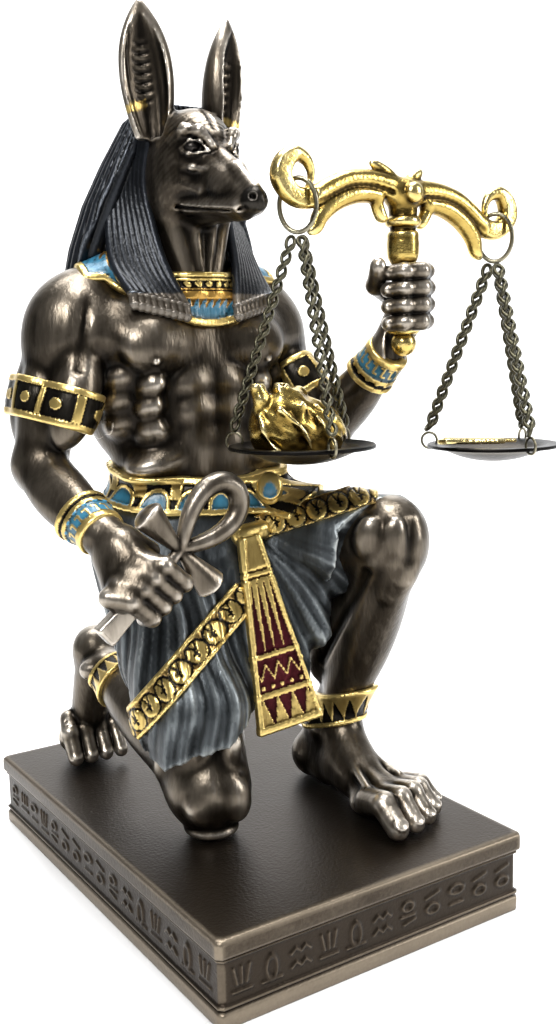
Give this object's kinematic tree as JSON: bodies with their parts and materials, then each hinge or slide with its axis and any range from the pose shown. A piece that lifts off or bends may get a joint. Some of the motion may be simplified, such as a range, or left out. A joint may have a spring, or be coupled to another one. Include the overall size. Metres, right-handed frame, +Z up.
{
  "type": "kneeling jackal headed statuette",
  "caption": "Kneeling jackal headed figurine with a looped cross and a hanging balance holding a heart and a feather, on an oblong plinth",
  "frame": {"origin": "centre of the plinth's underside, on the table the figurine stands on", "axes": "+Z up, the figure and the plinth's short side face -Y, the figure's right side is -X"},
  "size_m": [0.1694, 0.152, 0.2688],
  "materials": {
    "cold_cast_bronze": "cold cast bronze resin, dark brown with rubbed silver highlights and painted gold, blue and maroon detail, satin",
    "plinth_bronze": "cold cast bronze resin, dark brown, satin, lighter where edges are worn",
    "gilt": "bright antique gold with dark recesses",
    "heart_gilt": "bright lumpy gold with dark recesses",
    "feather_gilt": "dull gold",
    "pan_metal": "dark bronze, satin",
    "chain_metal": "dark olive bronze",
    "ring_metal": "dark steel bronze"
  },
  "bodies": {
    "root": {"figure": "cold_cast_bronze", "plinth": "plinth_bronze", "balance_beam": "gilt", "heart": "heart_gilt", "feather": "feather_gilt", "pan_right": "pan_metal", "top_ring_right": "ring_metal", "pan_ring_right_1": "ring_metal", "chain_right_1": "chain_metal", "pan_ring_right_2": "ring_metal", "chain_right_2": "chain_metal", "pan_ring_right_3": "ring_metal", "chain_right_3": "chain_metal", "pan_left": "pan_metal", "top_ring_left": "ring_metal", "pan_ring_left_1": "ring_metal", "chain_left_1": "chain_metal", "pan_ring_left_2": "ring_metal", "chain_left_2": "chain_metal", "pan_ring_left_3": "ring_metal", "chain_left_3": "chain_metal"}
  },
  "joints": []
}
